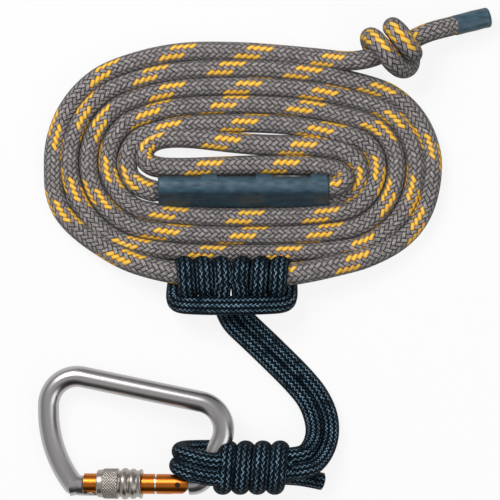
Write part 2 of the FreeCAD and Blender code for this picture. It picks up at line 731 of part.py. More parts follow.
def sleeve_body():
    """Turned outline of the sleeve, revolved about the gate's axis."""
    ring_start = grip_end + sleeve_groove
    ring_mid = ring_start + sleeve_ring_pitch
    ring_stop = ring_mid + sleeve_ring_pitch

    def at(x, r):
        return Vector(sleeve_start + x, gate_y + r, 0)

    mouth = sleeve_mouth_diameter / 2
    outline = [
        Part.LineSegment(at(0, mouth), at(0, sleeve_collar_diameter / 2)).toShape(),
        Part.LineSegment(at(0, sleeve_collar_diameter / 2), at(sleeve_collar, sleeve_collar_diameter / 2)).toShape(),
        Part.LineSegment(at(sleeve_collar, sleeve_collar_diameter / 2), at(sleeve_collar, ring_radius)).toShape(),
        Part.LineSegment(at(sleeve_collar, ring_radius), at(grip_end, ring_radius)).toShape(),
        Part.LineSegment(at(grip_end, ring_radius), at(grip_end, groove_radius)).toShape(),
        Part.LineSegment(at(grip_end, groove_radius), at(ring_start, groove_radius)).toShape(),
        Part.Arc(at(ring_start, groove_radius), at((ring_start + ring_mid) / 2, ring_radius),
                 at(ring_mid, groove_radius)).toShape(),
        Part.Arc(at(ring_mid, groove_radius), at((ring_mid + ring_stop) / 2, ring_radius),
                 at(ring_stop, groove_radius)).toShape(),
        Part.LineSegment(at(ring_stop, groove_radius), at(sleeve_length, ring_radius)).toShape(),
        Part.LineSegment(at(sleeve_length, ring_radius), at(sleeve_length, bore_radius)).toShape(),
        Part.LineSegment(at(sleeve_length, bore_radius), at(sleeve_mouth_depth, bore_radius)).toShape(),
        Part.LineSegment(at(sleeve_mouth_depth, bore_radius), at(sleeve_mouth_depth, mouth)).toShape(),
        Part.LineSegment(at(sleeve_mouth_depth, mouth), at(0, mouth)).toShape(),
    ]
    return Part.Face(Part.Wire(outline)).revolve(Vector(0, gate_y, 0), X, 360)


lock_sleeve = sleeve_body()
flutes = []
for i in range(flute_count):
    a = 2 * math.pi * i / flute_count
    centre = Vector(sleeve_start + sleeve_collar - 0.5, gate_y + math.cos(a) * (ring_radius + 0.4),
                    math.sin(a) * (ring_radius + 0.4))
    flutes.append(Part.makeCylinder(0.4 + flute_depth, sleeve_grip + 1.0, centre, X))
lock_sleeve = lock_sleeve.cut(Part.makeCompound(flutes))
ring_place = sleeve_start + sleeve_length - 5.0
friction_outer = gate_diameter / 2 + running_clearance + friction_ring_thickness
seat = Part.makeCylinder(friction_outer + 0.06, friction_ring_width + 0.2, Vector(ring_place - 0.1, gate_y, 0), X)
lock_sleeve = lock_sleeve.cut(seat)
keep("lock_sleeve", tilted(lock_sleeve))
friction_ring = Part.makeCylinder(friction_outer, friction_ring_width, Vector(ring_place, gate_y, 0), X).cut(
    Part.makeCylinder(gate_diameter / 2 + running_clearance, friction_ring_width + 2,
                      Vector(ring_place - 1, gate_y, 0), X))
keep("friction_ring", tilted(friction_ring))
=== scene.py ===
import json
import math

import bmesh
import bpy
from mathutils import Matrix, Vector

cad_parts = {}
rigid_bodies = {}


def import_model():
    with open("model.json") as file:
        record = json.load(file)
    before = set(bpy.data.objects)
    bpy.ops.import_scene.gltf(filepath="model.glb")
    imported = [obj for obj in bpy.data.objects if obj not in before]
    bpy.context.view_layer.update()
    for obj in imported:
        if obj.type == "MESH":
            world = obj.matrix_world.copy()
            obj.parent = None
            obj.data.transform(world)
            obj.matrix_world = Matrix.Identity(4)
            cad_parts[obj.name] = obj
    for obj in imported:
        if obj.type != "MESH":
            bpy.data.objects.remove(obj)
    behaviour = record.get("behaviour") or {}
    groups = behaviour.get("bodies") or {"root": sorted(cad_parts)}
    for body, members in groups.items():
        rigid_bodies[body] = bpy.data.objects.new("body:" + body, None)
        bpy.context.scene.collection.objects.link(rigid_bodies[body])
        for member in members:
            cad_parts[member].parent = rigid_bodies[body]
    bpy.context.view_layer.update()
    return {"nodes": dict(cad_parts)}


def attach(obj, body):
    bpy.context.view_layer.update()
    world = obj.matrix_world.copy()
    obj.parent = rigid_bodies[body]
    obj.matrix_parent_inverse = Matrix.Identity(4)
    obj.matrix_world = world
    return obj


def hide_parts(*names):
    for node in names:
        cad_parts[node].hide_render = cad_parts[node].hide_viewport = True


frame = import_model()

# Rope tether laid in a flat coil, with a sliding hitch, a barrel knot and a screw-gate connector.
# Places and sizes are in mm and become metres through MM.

MM = 0.001
FULL_TURN = 2 * math.pi
X, Y, Z = Vector((1, 0, 0)), Vector((0, 1, 0)), Vector((0, 0, 1))


def mm(*xyz):
    return Vector(xyz) * MM


def around(count):
    """Angles of count even steps round a circle."""
    return [FULL_TURN * k / count for k in range(count)]


# Camera: straight down on the tether, far enough away to keep its parts to scale

picture_middle = mm(64.3, 103.9, 0)
camera_height = 1.6
picture_width = 0.285
camera_data = bpy.data.cameras.new("camera")
camera_data.sensor_width = 36.0
camera_data.lens = camera_data.sensor_width * camera_height / picture_width
camera_data.clip_end = 20.0
camera = bpy.data.objects.new("camera", camera_data)
camera.location = picture_middle + Z * camera_height
bpy.context.scene.collection.objects.link(camera)
bpy.context.scene.camera = camera


# Material tools


def linear(code):
    """sRGB hex to a linear colour."""
    values = [int(code[i:i + 2], 16) / 255 for i in (1, 3, 5)]
    return tuple(v / 12.92 if v <= 0.04045 else ((v + 0.055) / 1.055) ** 2.4 for v in values) + (1.0,)


def add(tree, kind, inputs=None, **settings):
    """A node with its settings, and with a value or a link on each named or numbered input."""
    made = tree.nodes.new(kind)
    for key, value in settings.items():
        setattr(made, key, value)
    for key, value in (inputs or {}).items():
        if isinstance(value, bpy.types.NodeSocket):
            tree.links.new(value, made.inputs[key])
        else:
            made.inputs[key].default_value = value
    return made


def maths(tree, operation, *values):
    """One step of arithmetic on numbers or sockets."""
    return add(tree, "ShaderNodeMath", dict(enumerate(values)), operation=operation).outputs[0]


def blend_colours(tree, amount, a, b):
    return add(tree, "ShaderNodeMix", {0: amount, 6: a, 7: b}, data_type="RGBA").outputs[2]


def ramp(tree, value, stops):
    """Colour ramp with (place, colour code) stops."""
    made = add(tree, "ShaderNodeValToRGB", {0: value})
    points = made.color_ramp.elements
    while len(points) < len(stops):
        points.new(0.5)
    for point, (place, code) in zip(points, stops):
        point.position = place
        point.color = linear(code)
    return made.outputs[0]


def noise(tree, scale, detail=2.0, coordinates=None):
    """Noise on object coordinates; scale is per metre."""
    place = coordinates or add(tree, "ShaderNodeTexCoord").outputs["Object"]
    return add(tree, "ShaderNodeTexNoise", {"Vector": place, "Scale": scale, "Detail": detail}).outputs[0]


def new_material(name, **shader):
    """Material with one Principled shader; returns it, its tree and the shader node."""
    material = bpy.data.materials.new(name)
    material.use_nodes = True
    tree = material.node_tree
    tree.nodes.clear()
    skin = add(tree, "ShaderNodeBsdfPrincipled", {k.replace("_", " "): v for k, v in shader.items()})
    add(tree, "ShaderNodeOutputMaterial", {0: skin.outputs[0]})
    return material, tree, skin


def roughen(tree, skin, height, strength, distance):
    """Relief on the shader's surface; distance is in metres."""
    bump = add(tree, "ShaderNodeBump", {"Strength": strength, "Distance": distance, "Height": height})
    tree.links.new(bump.outputs[0], skin.inputs["Normal"])


def painted_side_shade(tree, least):
    """Painted shade: 1 on surfaces that face up, falling to least on steep sides, where strands press together and
    shade would fall.
    """
    steep, level = 0.2, 0.85
    facing = add(tree, "ShaderNodeSeparateXYZ", {0: add(tree, "ShaderNodeNewGeometry").outputs["True Normal"]})
    return add(tree, "ShaderNodeMapRange", {0: facing.outputs[2], 1: steep, 2: level, 3: least, 4: 1.0}).outputs[0]


# Braid


def braid(tree, columns, pick):
    """Two-over-two tubular braid on the piece's lay map: u once round, v metres along.

    columns strands run each way round, and pick is the spacing of one way's strands along the rope in
    metres. Returns sockets: first is 1 where the first way's strand is on top, first_strand that
    strand's number, strand the number of the strand on top, across the place over its width (0 to 1)
    and run the place along its visible stretch (-1 to 1).
    """
    lay = add(tree, "ShaderNodeSeparateXYZ", {0: add(tree, "ShaderNodeUVMap", uv_map="lay").outputs[0]})
    along = maths(tree, "DIVIDE", lay.outputs[1], pick)
    round_it = maths(tree, "MULTIPLY", lay.outputs[0], float(columns))
    first_way = maths(tree, "ADD", along, round_it)
    second_way = maths(tree, "SUBTRACT", along, round_it)
    first_strand = maths(tree, "FLOOR", first_way)
    second_strand = maths(tree, "FLOOR", second_way)
    step = maths(tree, "FLOORED_MODULO", maths(tree, "SUBTRACT", first_strand, second_strand), 4.0)
    first = maths(tree, "LESS_THAN", step, 1.5)
    second_run = maths(tree, "SUBTRACT", maths(tree, "SUBTRACT", first_way, second_strand), 3.0)

    def on_top(of_first, of_second):
        return add(tree, "ShaderNodeMix", {0: first, 2: of_second, 3: of_first}).outputs[0]

    return {
        "first": first,
        "first_strand": first_strand,
        "strand": on_top(first_strand, second_strand),
        "across": on_top(maths(tree, "SUBTRACT", first_way, first_strand),
                         maths(tree, "SUBTRACT", second_way, second_strand)),
        "run": on_top(maths(tree, "WRAP", maths(tree, "SUBTRACT", first_strand, second_way), 2.0, -2.0),
                      maths(tree, "WRAP", second_run, 2.0, -2.0)),
    }


def pick_height(tree, weave):
    """Rounded height of a pick: full in its middle and sinking at its sides and ends."""
    side = maths(tree, "ABSOLUTE", maths(tree, "MULTIPLY_ADD", weave["across"], 2.0, -1.0))
    round_side = maths(tree, "SUBTRACT", 1.0, maths(tree, "POWER", side, 4.0))
    end = maths(tree, "POWER", maths(tree, "ABSOLUTE", weave["run"]), 3.5)
    return maths(tree, "MULTIPLY", round_side, maths(tree, "SUBTRACT", 1.0, maths(tree, "MULTIPLY", end, 0.6)))


def yarn_lines(tree, weave, yarns=3):
    """Fine twisted yarns that run along each pick, 0 to 1."""
    slant = maths(tree, "MULTIPLY_ADD", weave["run"], 0.22, weave["across"])
    wave = maths(tree, "SINE", maths(tree, "MULTIPLY", slant, FULL_TURN * yarns))
    return maths(tree, "MULTIPLY_ADD", wave, 0.5, 0.5)


def polyester_rope_sheath():
    """Braided polyester: dull grey yarns with painted pale glints and painted shade, and four orange strands in
    twelve.
    """
    strands, flecked_strands, pick = 12, 3.5, 0.0036
    material, tree, skin = new_material("braided_polyester_grey_orange", Roughness=0.7, Sheen_Weight=0.05,
                                        Sheen_Roughness=0.4, Specular_IOR_Level=0.25)
    weave = braid(tree, strands, pick)
    height = pick_height(tree, weave)
    yarns = yarn_lines(tree, weave)
    # Each grey strand is two yarns side by side, with a low groove between that the ramps below paint dark as shade
    pair = maths(tree, "ABSOLUTE", maths(tree, "SINE", maths(tree, "MULTIPLY", weave["across"], FULL_TURN)))
    pair_height = maths(tree, "MULTIPLY_ADD", maths(tree, "POWER", pair, 0.6), 0.62, 0.48)
    parted = maths(tree, "MULTIPLY", height, pair_height)
    # Strands differ in shade, as the grey is a mix of darker and paler yarns
    shade = maths(tree, "FRACT", maths(tree, "MULTIPLY", weave["strand"], 0.381))
    # The ramps paint shade: the low parts of the weave, its grooves and pick ends, go near black and the tops paler
    dark_grey = ramp(tree, parted, ((0.0, "#171415"), (0.3, "#383334"), (0.7, "#625d5e"), (1.0, "#7f7979")))
    pale_grey = ramp(tree, parted, ((0.0, "#1c191a"), (0.3, "#4c4748"), (0.7, "#807b7b"), (1.0, "#a39d9c")))
    grey = blend_colours(tree, shade, dark_grey, pale_grey)
    # Painted highlight: pale glints on the tops of the yarns, where they stand highest
    painted_glint_crest = maths(tree, "GREATER_THAN", maths(tree, "MULTIPLY", yarns, height), 0.72)
    grey = blend_colours(tree, maths(tree, "MULTIPLY", painted_glint_crest, 0.55), grey, linear("#cfcac6"))
    # The orange ramp is the orange yarn, deeper in the grooves as painted shade and pale yellow on the tops as painted
    # highlight
    orange = ramp(tree, height, ((0.0, "#d8700a"), (0.25, "#f79a10"), (0.6, "#ffbb20"), (1.0, "#ffd552")))
    strand_in_set = maths(tree, "FLOORED_MODULO", weave["first_strand"], float(strands))
    fleck = maths(tree, "MULTIPLY", weave["first"], maths(tree, "LESS_THAN", strand_in_set, flecked_strands))
    colour = blend_colours(tree, fleck, grey, orange)
    # Painted highlight: single fibres get pale glint specks on the raised parts, and random dark specks fall between
    # them in the grey
    fibres = noise(tree, 1500.0)
    pale = maths(tree, "MULTIPLY", maths(tree, "GREATER_THAN", fibres, 0.6), 0.45)
    dark = maths(tree, "MULTIPLY", maths(tree, "LESS_THAN", fibres, 0.43), 0.5)
    dark_in_grey = maths(tree, "MULTIPLY", dark, maths(tree, "SUBTRACT", 1.0, fleck))
    colour = blend_colours(tree, maths(tree, "MULTIPLY", pale, height), colour, linear("#e2dedb"))
    colour = blend_colours(tree, dark_in_grey, colour, linear("#262223"))
    # Painted shade: the sheath darkens toward near black on its steep sides, where strands press together
    colour = blend_colours(tree, painted_side_shade(tree, 0.45), linear("#0c0a0a"), colour)
    tree.links.new(colour, skin.inputs["Base Color"])
    roughen(tree, skin, maths(tree, "MULTIPLY_ADD", yarns, 0.12, height), 1.0, 0.0005)
    return material


def polyester_cord_sheath():
    """Navy braided cord: near-black yarns with painted shade in their grooves, and a pale blue tracer that shows as
    zigzag ticks.
    """
    strands, pick = 20, 0.0025
    tick_half_width, most_tick = 0.21, 0.85
    material, tree, skin = new_material("braided_cord_navy", Roughness=0.65, Specular_IOR_Level=0.08)
    weave = braid(tree, strands, pick)
    height = pick_height(tree, weave)
    # The navy ramp paints shade: the low parts of the weave go near black and the tops a little paler
    navy = ramp(tree, height, ((0.0, "#010203"), (0.4, "#03080e"), (0.8, "#07131d"), (1.0, "#0c1d29")))
    off_middle = maths(tree, "ABSOLUTE", maths(tree, "SUBTRACT", weave["across"], 0.5))
    middle = maths(tree, "LESS_THAN", off_middle, tick_half_width)
    backwards = maths(tree, "MULTIPLY", weave["run"], -1.0)
    towards_seam = add(tree, "ShaderNodeMix", {0: weave["first"], 2: backwards, 3: weave["run"]}).outputs[0]
    near_seam = maths(tree, "GREATER_THAN", towards_seam, 0.0)
    # The tracer comes and goes along the cord
    fade = maths(tree, "MULTIPLY_ADD", noise(tree, 210.0), 2.2, -0.65)
    tick = maths(tree, "MULTIPLY", maths(tree, "MULTIPLY", near_seam, middle), fade)
    tick = maths(tree, "MINIMUM", maths(tree, "MAXIMUM", tick, 0.0), most_tick)
    # Painted shade: the ticks fade out on steep sides, leaving dark creases between the turns
    tick = maths(tree, "MULTIPLY", tick, painted_side_shade(tree, 0.0))
    tree.links.new(blend_colours(tree, tick, navy, linear("#8fb6cd")), skin.inputs["Base Color"])
    roughen(tree, skin, maths(tree, "MULTIPLY_ADD", yarn_lines(tree, weave), 0.15, height), 1.0, 0.0004)
    return material


# Plastic, metal and paper


def shrunk_polyolefin():
    """Heat-shrunk polyolefin tube: satin slate blue plastic, cloudy where it hugs the braid beneath, with painted
    shade on its steep sides that leaves a pale band along the top.
    """
    material, tree, skin = new_material("heat_shrunk_polyolefin", Roughness=0.38, Specular_IOR_Level=0.5)
    place = add(tree, "ShaderNodeTexCoord").outputs["Object"]
    turned = add(tree, "ShaderNodeMapping", {"Vector": place, "Rotation": (0.0, 0.0, 0.7), "Scale": (1.0, 3.2, 1.0)})
    cloudy = noise(tree, 160.0, 3.0, turned.outputs[0])
    colour = ramp(tree, cloudy, ((0.3, "#2b4352"), (0.55, "#3a5666"), (0.8, "#4d6a79")))
    # Painted shade: darker toward the steep sides, which leaves a pale sheen band along the top
    colour = blend_colours(tree, painted_side_shade(tree, 0.3), linear("#0e171e"), colour)
    tree.links.new(colour, skin.inputs["Base Color"])
    tree.links.new(maths(tree, "MULTIPLY_ADD", cloudy, 0.15, 0.36), skin.inputs["Roughness"])
    roughen(tree, skin, maths(tree, "MULTIPLY_ADD", noise(tree, 1400.0), 0.1, cloudy), 0.3, 0.0004)
    return material


def metal(name, colour, roughness, grain=0.1, scale=900.0, stretch=(1.0, 1.0, 1.0), relief=0.05):
    """Metal with faint marks in its shine; stretch shortens the marks across an axis."""
    material, tree, skin = new_material(name, Base_Color=linear(colour), Metallic=1.0, Roughness=roughness)
    place = add(tree, "ShaderNodeTexCoord").outputs["Object"]
    drawn = add(tree, "ShaderNodeMapping", {"Vector": place, "Scale": stretch})
    marks = noise(tree, scale, 3.0, drawn.outputs[0])
    tree.links.new(maths(tree, "MULTIPLY_ADD", marks, grain, roughness - grain / 2), skin.inputs["Roughness"])
    roughen(tree, skin, marks, relief, 0.00005)
    return material


def stage_white():
    """Matte white paper that keeps a faint shadow and is white to the eye and in shiny parts."""
    own_light = 0.86
    material, tree, skin = new_material("white_paper", Base_Color=linear("#f2f2f2"), Roughness=0.9)
    light = add(tree, "ShaderNodeEmission", {"Color": (1.0, 1.0, 1.0, 1.0), "Strength": 1.0})
    ray = add(tree, "ShaderNodeLightPath")
    seen = maths(tree, "MAXIMUM", ray.outputs["Is Camera Ray"], ray.outputs["Is Glossy Ray"])
    share = maths(tree, "MULTIPLY", seen, own_light)
    mixed = add(tree, "ShaderNodeMixShader", {0: share, 1: skin.outputs[0], 2: light.outputs[0]})
    tree.links.new(mixed.outputs[0], tree.nodes["Material Output"].inputs[0])
    return material


rope_sheath = polyester_rope_sheath()
cord_sheath = polyester_cord_sheath()
shrink_plastic = shrunk_polyolefin()
# Polished aluminium: smooth and silver grey, with soft bright and dark bands along the bar
forged_aluminium = metal("polished_aluminium_grey", "#b2b0b0", 0.3, 0.03, 260.0, relief=0.0)
# Orange anodised aluminium tube, drawn lengthwise and bright
anodised_orange = metal("anodised_aluminium_orange", "#bf6c28", 0.3, 0.1, 700.0, (1.0, 8.0, 8.0))
# Turned aluminium of the sleeve, duller and warmer than the frame
turned_aluminium = metal("turned_aluminium_satin", "#a9a39c", 0.34, 0.12, 800.0, (8.0, 1.0, 1.0))
# Bare aluminium, a bright thin line round the orange gate
bare_ring = metal("bare_aluminium_bright", "#e3e3e3", 0.22, 0.05)
# Spring steel inside the gate, bright and hard
spring_steel = metal("stainless_steel_bright", "#c9c6c2", 0.25, 0.05)
# Blackened steel rivet, a dull dark dot in the orange
pin_steel = metal("blackened_steel_rivet", "#3a342f", 0.45)


# Shape tools


def link_mesh(name, mesh, material):
    made = bpy.data.objects.new(name, mesh)
    mesh.materials.append(material)
    bpy.context.scene.collection.objects.link(made)
    return made


def route_line(points, resolution=8):
    """The line of a smooth order-3 spline with these control points, as points in metres."""
    data = bpy.data.curves.new("route", "CURVE")
    data.dimensions = "3D"
    data.resolution_u = resolution
    spline = data.splines.new("NURBS")
    spline.points.add(len(points) - 1)
    for point, place in zip(spline.points, points):
        point.co = (*(c * MM for c in place), 1.0)
    spline.order_u = 3
    spline.use_endpoint_u = True
    holder = bpy.data.objects.new("route", data)
    bpy.context.scene.collection.objects.link(holder)
    mesh = bpy.data.meshes.new_from_object(holder.evaluated_get(bpy.context.evaluated_depsgraph_get()))
    line = [v.co.copy() for v in mesh.vertices]
    bpy.data.objects.remove(holder)
    bpy.data.curves.remove(data)
    bpy.data.meshes.remove(mesh)
    return line


def line_frames(line):
    """Heading and an untwisted normal at each point of a line."""
    headings = []
    for n in range(len(line)):
        a, b = line[max(n - 1, 0)], line[min(n + 1, len(line) - 1)]
        headings.append((b - a).normalized())
    normal = Z - headings[0] * Z.dot(headings[0])
    if normal.length < 0.2:
        normal = Y - headings[0] * Y.dot(headings[0])
    normal.normalize()
    normals = [normal]
    for before, heading in zip(headings, headings[1:]):
        normal = before.rotation_difference(heading) @ normal
        normal = (normal - heading * normal.dot(heading)).normalized()
        normals.append(normal)
    return list(zip(headings, normals))


def tube(name, line, radius, material, sides=24, twist=0.0, start=0.0, form=None):
    """Round tube along a line, with softened ends. Its lay map has u once round and v in metres along.

    twist is turns per metre, and start is where v begins. form(place, offset) changes a point's
    offset from the line.
    """
    end_share, end_rise, end_lay = 0.8, 0.12, 0.2
    mesh = bpy.data.meshes.new(name)
    build = bmesh.new()
    lay = build.loops.layers.uv.new("lay")
    distances = [0.0]
    for a, b in zip(line, line[1:]):
        distances.append(distances[-1] + (b - a).length)
    frames = line_frames(line)
    rings = []
    for place, distance, (heading, normal) in zip(line, distances, frames):
        side = heading.cross(normal)
        ring = []
        for angle in around(sides):
            angle += FULL_TURN * twist * distance
            offset = (normal * math.cos(angle) + side * math.sin(angle)) * radius
            ring.append(build.verts.new(place + (form(place, offset) if form else offset)))
        rings.append(ring)

    def end_ring(ring, place, outwards):
        return [build.verts.new(place + (v.co - place) * end_share + outwards * radius * end_rise) for v in ring]

    rings.insert(0, end_ring(rings[0], line[0], -frames[0][0]))
    distances.insert(0, -radius * end_lay)
    rings.append(end_ring(rings[-1], line[-1], frames[-1][0]))
    distances.append(distances[-1] + radius * end_lay)
    for n in range(len(rings) - 1):
        for k in range(sides):
            m = (k + 1) % sides
            face = build.faces.new((rings[n][k], rings[n + 1][k], rings[n + 1][m], rings[n][m]))
            face.smooth = True
            for loop, (c, r) in zip(face.loops, ((k, n), (k, n + 1), (k + 1, n + 1), (k + 1, n))):
                loop[lay].uv = (c / sides, distances[r] + start)
    for ring in (rings[0], rings[-1][::-1]):
        face = build.faces.new(ring)
        for angle, loop in zip(around(sides), face.loops):
            loop[lay].uv = (0.1 + 0.1 * math.cos(angle), 0.003 * math.sin(angle))
    bmesh.ops.recalc_face_normals(build, faces=build.faces)
    build.to_mesh(mesh)
    build.free()
    return link_mesh(name, mesh, material)


def loft(name, rings, material, hollow=False):
    """Closed skin through rings of equal counts: capped at both ends, or hollow, with its last ring
    joined to its first."""
    mesh = bpy.data.meshes.new(name)
    build = bmesh.new()
    rows = [[build.verts.new(p) for p in ring] for ring in rings]
    for a, b in zip(rows, rows[1:] + rows[:1] * hollow):
        for k in range(len(a)):
            m = (k + 1) % len(a)
            build.faces.new((a[k], b[k], b[m], a[m])).smooth = True
    if not hollow:
        build.faces.new(rows[0])
        build.faces.new(rows[-1][::-1])
    bmesh.ops.recalc_face_normals(build, faces=build.faces)
    build.to_mesh(mesh)
    build.free()
    return link_mesh(name, mesh, material)


def flattened(middle, axis, wide, thin):
    """Form of a strand that is pressed on what it winds round: wider along the axis, thinner across."""
    def form(place, offset):
        out = place - middle * MM
        out = (out - axis * out.dot(axis)).normalized()
        return offset + axis * offset.dot(axis) * (wide - 1) + out * offset.dot(out) * (thin - 1)
    return form


def fit(piece, body, slot, *nodes):
    """Piece that rides on a body and replaces nodes, which it hides; slot is not used."""
    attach(piece, body)
    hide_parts(*nodes)


def free_cord(name, points, diameter, material, body, nodes, lay, stiffness, far_end="object", **shape):
    """A cord along its route, which rides on a body and stands for its nodes."""
    line = route_line(points)
    piece = tube(name, line, diameter / 2, material, **shape)
    fit(piece, body, "rope" if material == rope_sheath else "cord", *nodes)


# The rope: one length from the tip through the stopper knot and round the coil into the sewn sleeve

rope_width = 11.0
rope_z = rope_width / 2
coil_middle = (60.3, 152.4)
# Reach of the outermost strand, spacing of the strands and turn of the flat arcs: top, left, bottom, right
coil_reaches = (64.6, 110.2, 66.35, 115.25)
coil_spacing = (10.02, 10.42, 10.42, 10.42)
flat_turns = (15.0, 6.5, 5.0, 12.0)
coil_top_shift = -12.0
# Quarters that lie a little further out or in
coil_moves = {5: 1.4, 7: 1.1, 9: 0.9, 11: 0.7, 12: -0.3, 13: 0.4, 15: 0.3, 16: -0.8}
# The two strands in the sleeve, one over the other
sewn_y, sewn_low = 133.8, 6.1
sewn_high_y, sewn_high = sewn_y + 5.9, 14.9


def coil_knot(quarter):
    """Place and heading where a quarter of the coil starts, counted from the top of the first strand."""
    spacing = coil_spacing[quarter % 4]
    reach = coil_reaches[quarter % 4] - spacing * quarter / 4
    angle = math.radians(90 + 90 * quarter)
    out = Vector((math.cos(angle), math.sin(angle)))
    way = Vector((-math.sin(angle), math.cos(angle)))
    place = Vector(coil_middle) + out * reach - way * (spacing / FULL_TURN)
    if quarter % 4 == 0:
        place.x += coil_top_shift
    place += out * coil_moves.get(quarter, 0.0)
    return place, way


def coil_quarter(quarter):
    """Control points of a quarter turn: a long flat arc and a tight end arc, or the other way round."""
    (p0, d0), (p1, d1) = coil_knot(quarter), coil_knot(quarter + 1)
    flat = flat_turns[quarter % 4]
    first = math.radians(flat if quarter % 2 == 0 else 90 - flat)
    along, across = (p1 - p0).dot(d0), (p1 - p0).dot(d1)
    spread = (along - across) / (math.cos(first) + math.sin(first) - 1)
    r1, r2 = across + spread * math.cos(first), along - spread * math.sin(first)
    points = []
    for radius, start, turn in ((r1, 0.0, first), (r2, first, math.pi / 2 - first)):
        count = max(1, round(math.degrees(turn) / 18))
        centre = p0 + d1 * r1
        if start:
            centre = centre + (d0 * math.sin(first) - d1 * math.cos(first)) * (r1 - r2)
        for n in range(count):
            angle = start + turn * (n + 0.5) / count
            reach = radius / math.cos(turn / count / 2)
            place = centre + (d0 * math.sin(angle) - d1 * math.cos(angle)) * reach
            points.append((place.x, place.y, rope_z))
    return points


# From the tip through the stopper knot on to the coil
rope_route = [
    (198.8, 235.8, 6.6), (188.0, 233.3, 8.0), (177.4, 230.4, 10.2), (169.2, 228.2, 13.4), (162.1, 225.8, 15.0),
    (156.0, 222.6, 15.2), (145.3, 217.9, 15.0), (134.4, 212.8, 14.6), (125.0, 210.9, 12.0), (116.0, 211.2, 7.6),
    (106.0, 212.6, 5.4), (92.0, 214.0, rope_z), (76.0, 215.5, rope_z), (60.0, 216.6, rope_z),
]
rope_route += coil_quarter(0)
# Down the left, up over the hitch and down again on the right
rope_route += [
    (-47.4, 146.0, rope_z), (-46.8, 136.4, rope_z), (-43.4, 127.0, rope_z), (-37.2, 118.8, rope_z),
    (-28.0, 111.0, 5.8), (-15.0, 103.2, 8.0), (-4.0, 97.6, 10.6), (8.0, 93.8, 13.2), (22.0, 90.8, 14.8),
    (38.0, 88.4, 15.0), (53.5, 88.2, 15.1), (71.0, 88.4, 15.0), (87.0, 90.0, 14.8), (99.0, 92.0, 13.4),
    (113.0, 95.2, 10.8), (130.0, 99.4, 8.0), (145.4, 106.2, 6.0), (156.0, 114.8, rope_z), (163.2, 126.0, rope_z),
    (166.8, 138.4, rope_z), (168.0, 149.0, rope_z),
]
for quarter in range(3, 17):
    rope_route += coil_quarter(quarter)
# Through the sleeve, round the eye and back into the sleeve on top of itself
rope_route += [
    (-4.9, 147.8, rope_z), (-2.0, 142.8, rope_z), (3.6, 139.2, 5.6), (9.4, 137.4, 5.8), (16.0, 135.6, sewn_low),
    (27.0, sewn_y + 0.5, sewn_low), (44.0, sewn_y, sewn_low), (76.0, sewn_y, sewn_low), (108.8, sewn_y, sewn_low),
    (115.0, sewn_y + 0.4, 5.6), (121.4, 137.0, rope_z), (125.8, 141.4, rope_z), (127.4, 148.0, rope_z),
    (125.4, 155.0, rope_z), (118.0, 160.2, rope_z), (106.0, 162.6, rope_z), (94.0, 163.3, rope_z),
    (80.0, 163.3, rope_z), (66.0, 163.8, rope_z), (50.0, 165.5, rope_z), (34.0, 167.5, rope_z),
    (20.0, 168.2, rope_z), (9.4, 166.4, rope_z), (4.0, 160.8, rope_z), (4.6, 154.0, rope_z),
    (11.4, 150.6, rope_z), (24.0, 150.2, rope_z), (38.0, 150.6, rope_z), (56.0, 151.4, rope_z),
    (76.0, 152.0, rope_z), (93.0, 152.0, rope_z), (104.0, 151.4, rope_z), (112.4, 149.6, 6.0),
    (117.8, 147.0, 8.6), (118.4, 142.6, 12.6), (113.4, sewn_high_y, sewn_high), (108.8, sewn_high_y, sewn_high),
    (76.0, sewn_high_y, sewn_high), (44.0, sewn_high_y, sewn_high), (16.0, sewn_high_y, sewn_high),
]


def between(value, low, rise, high, fall):
    """1 well inside low to high, easing to 0 at low over rise and at high over fall."""
    return min(1.0, max(0.0, (value - low) / rise)) * min(1.0, max(0.0, (high - value) / fall))


def rope_form(place, offset):
    """The rope is fatter in the eye, at the sleeve's mouth and in the hitch, and thinner in the sleeve."""
    x, y, z = place / MM
    hitch_share = between(z, 5.5, 3.0, 100, 1) * between(y, 0, 1, 125, 8)
    eye_share = between(x, 3, 6, 127, 6) * between(y, 145.5, 4, 171.5, 2)
    sewn_share = between(x, 11, 3, 111, 3) * between(y, 128, 2, 144, 2)
    mouth_share = between(x, -5, 5, 13, 3) * between(y, 130, 3, 148, 4)
    return offset * (1 + 0.14 * hitch_share + 0.09 * eye_share + 0.12 * mouth_share - 0.12 * sewn_share)


free_cord("rope", rope_route, rope_width * MM, rope_sheath, "tether",
          ("rope_coil", "stopper_core", "rope_tail", "eye_loop", "sewn_strand_lower", "sewn_strand_upper"),
          "coiled", "medium", twist=0.6, form=rope_form)


# Stopper knot: two bands that cross the top on a slant; places count along and beside the rope

stopper_middle = (144.4, 217.9)
stopper_way = Vector((math.cos(math.radians(25)), math.sin(math.radians(25)), 0))
stopper_side = Vector((stopper_way.y, -stopper_way.x, 0))
stopper_route = []
for along, aside, height in (
        (-9.0, 3.0, 8.0), (-9.2, -7.0, 8.0), (-8.8, -11.4, 16.0), (-7.2, -7.6, 26.0), (-5.2, 0.6, 29.0),
        (-3.6, 8.6, 26.0), (0.6, 14.0, 18.0), (6.4, 12.6, 9.6), (9.4, 3.0, 6.4), (8.4, -6.0, 6.8),
        (5.2, -11.0, 15.0), (5.0, -8.8, 25.6), (6.4, -1.0, 28.6), (8.6, 6.4, 24.0), (9.4, 8.6, 14.0), (7.0, 2.0, 9.0)):
    stopper_route.append(Vector((*stopper_middle, height)) + stopper_way * along + stopper_side * aside)
stopper = tube("stopper_knot", route_line(stopper_route, 12), 5.8 * MM, rope_sheath, sides=26, start=0.041)
fit(stopper, "tether", "rope", "stopper_turns")


# Heat-shrunk sleeves


